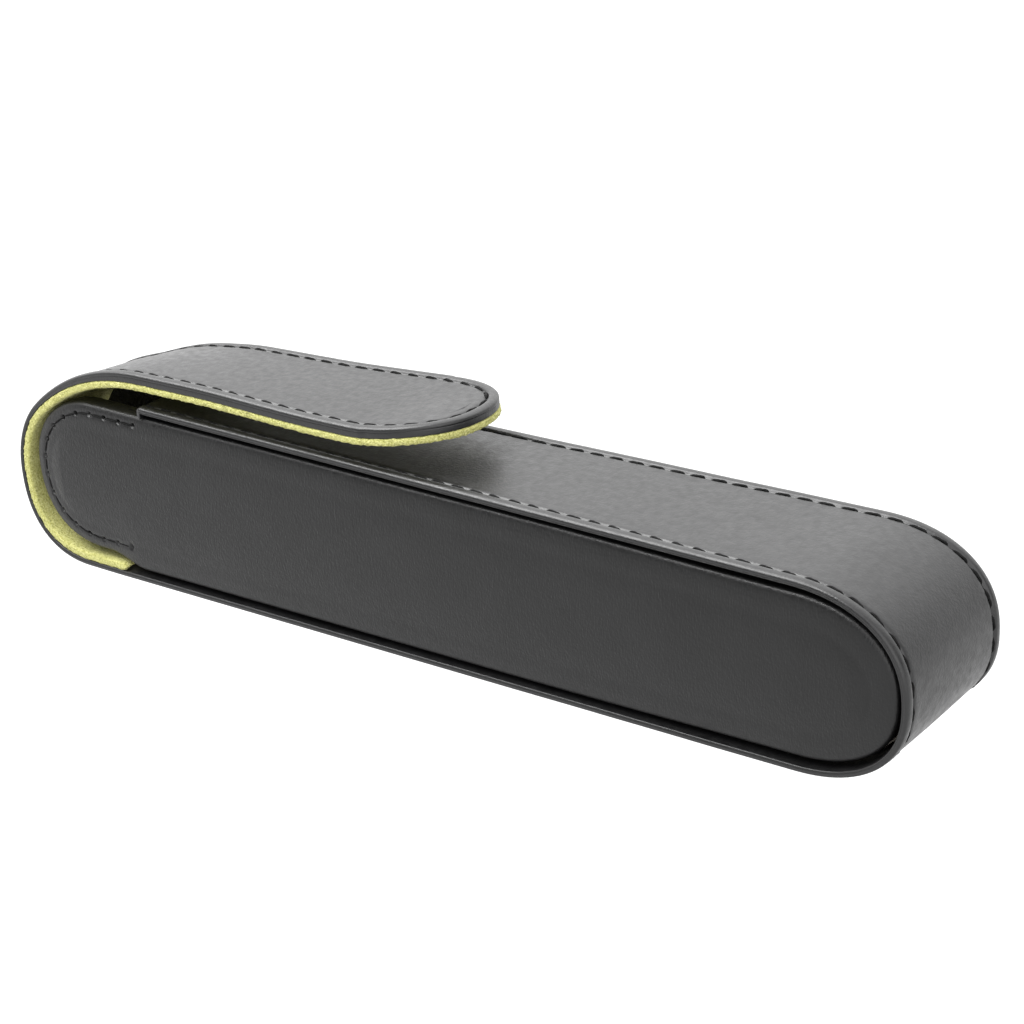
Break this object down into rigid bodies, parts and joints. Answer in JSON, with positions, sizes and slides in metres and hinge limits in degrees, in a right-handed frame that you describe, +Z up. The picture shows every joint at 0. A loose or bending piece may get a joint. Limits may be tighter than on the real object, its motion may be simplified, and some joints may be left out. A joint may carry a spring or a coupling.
{
  "type": "fountain pen case",
  "caption": "Slim stadium-shaped hard leather case for one fountain pen, with suede lining and a sprung wrap-over flap that closes on a hidden magnet.",
  "frame": {"origin": "middle of the footprint on the surface the case lies on, at the middle of its length and width", "axes": "+X along the length towards the closed end, with the mouth and the flap's bend at -X; +Y across the width; +Z up, towards the flap's tongue"},
  "size_m": [0.167, 0.0266, 0.0364],
  "materials": {
    "leather": "black smooth calf with fine pebble grain, semi-gloss",
    "suede": "chartreuse suede, matt with a short nap",
    "thread": "waxed black polyester thread",
    "board": "pressed fibre board, matt",
    "foam": "soft white foam, matt",
    "steel": "plated, satin"
  },
  "bodies": {
    "case": {"outer_band": "leather", "band_core": "board", "band_lining": "suede", "keeper_plate": "steel", "front_cover": "leather", "front_pad": "foam", "front_board": "board", "front_lining": "suede", "front_seam_thread": "thread", "front_mouth_thread": "thread", "back_cover": "leather", "back_pad": "foam", "back_board": "board", "back_lining": "suede", "back_seam_thread": "thread", "back_mouth_thread": "thread"},
    "flap_heel": {"heel_leather": "leather", "heel_lining": "suede", "heel_front_thread": "thread", "heel_back_thread": "thread"},
    "flap_crown": {"crown_leather": "leather", "crown_lining": "suede", "crown_front_thread": "thread", "crown_back_thread": "thread"},
    "flap_tongue": {"tongue_leather": "leather", "tongue_stiffener": "board", "magnet": "steel", "tongue_lining": "suede", "tongue_thread": "thread"}
  },
  "joints": [
    {"name": "flap_swing", "type": "hinge", "parent": "case", "child": "flap_heel", "pos_m": [-0.0605, 0, 0], "axis": [0, -1, 0], "range_deg": [0, 45]},
    {"name": "flap_unroll", "type": "hinge", "parent": "flap_heel", "child": "flap_crown", "pos_m": [-0.0835, 0, 0.0145], "axis": [0, -1, 0], "range_deg": [0, 63]},
    {"name": "tongue_lift", "type": "hinge", "parent": "flap_crown", "child": "flap_tongue", "pos_m": [-0.065, 0, 0.03426], "axis": [0, -1, 0], "range_deg": [-2.7, 60], "stiffness_Nm_per_rad": 0.15}
  ],
  "couplings": [
    {"joint": "flap_unroll", "follows": "flap_swing", "ratio": 1.4}
  ]
}
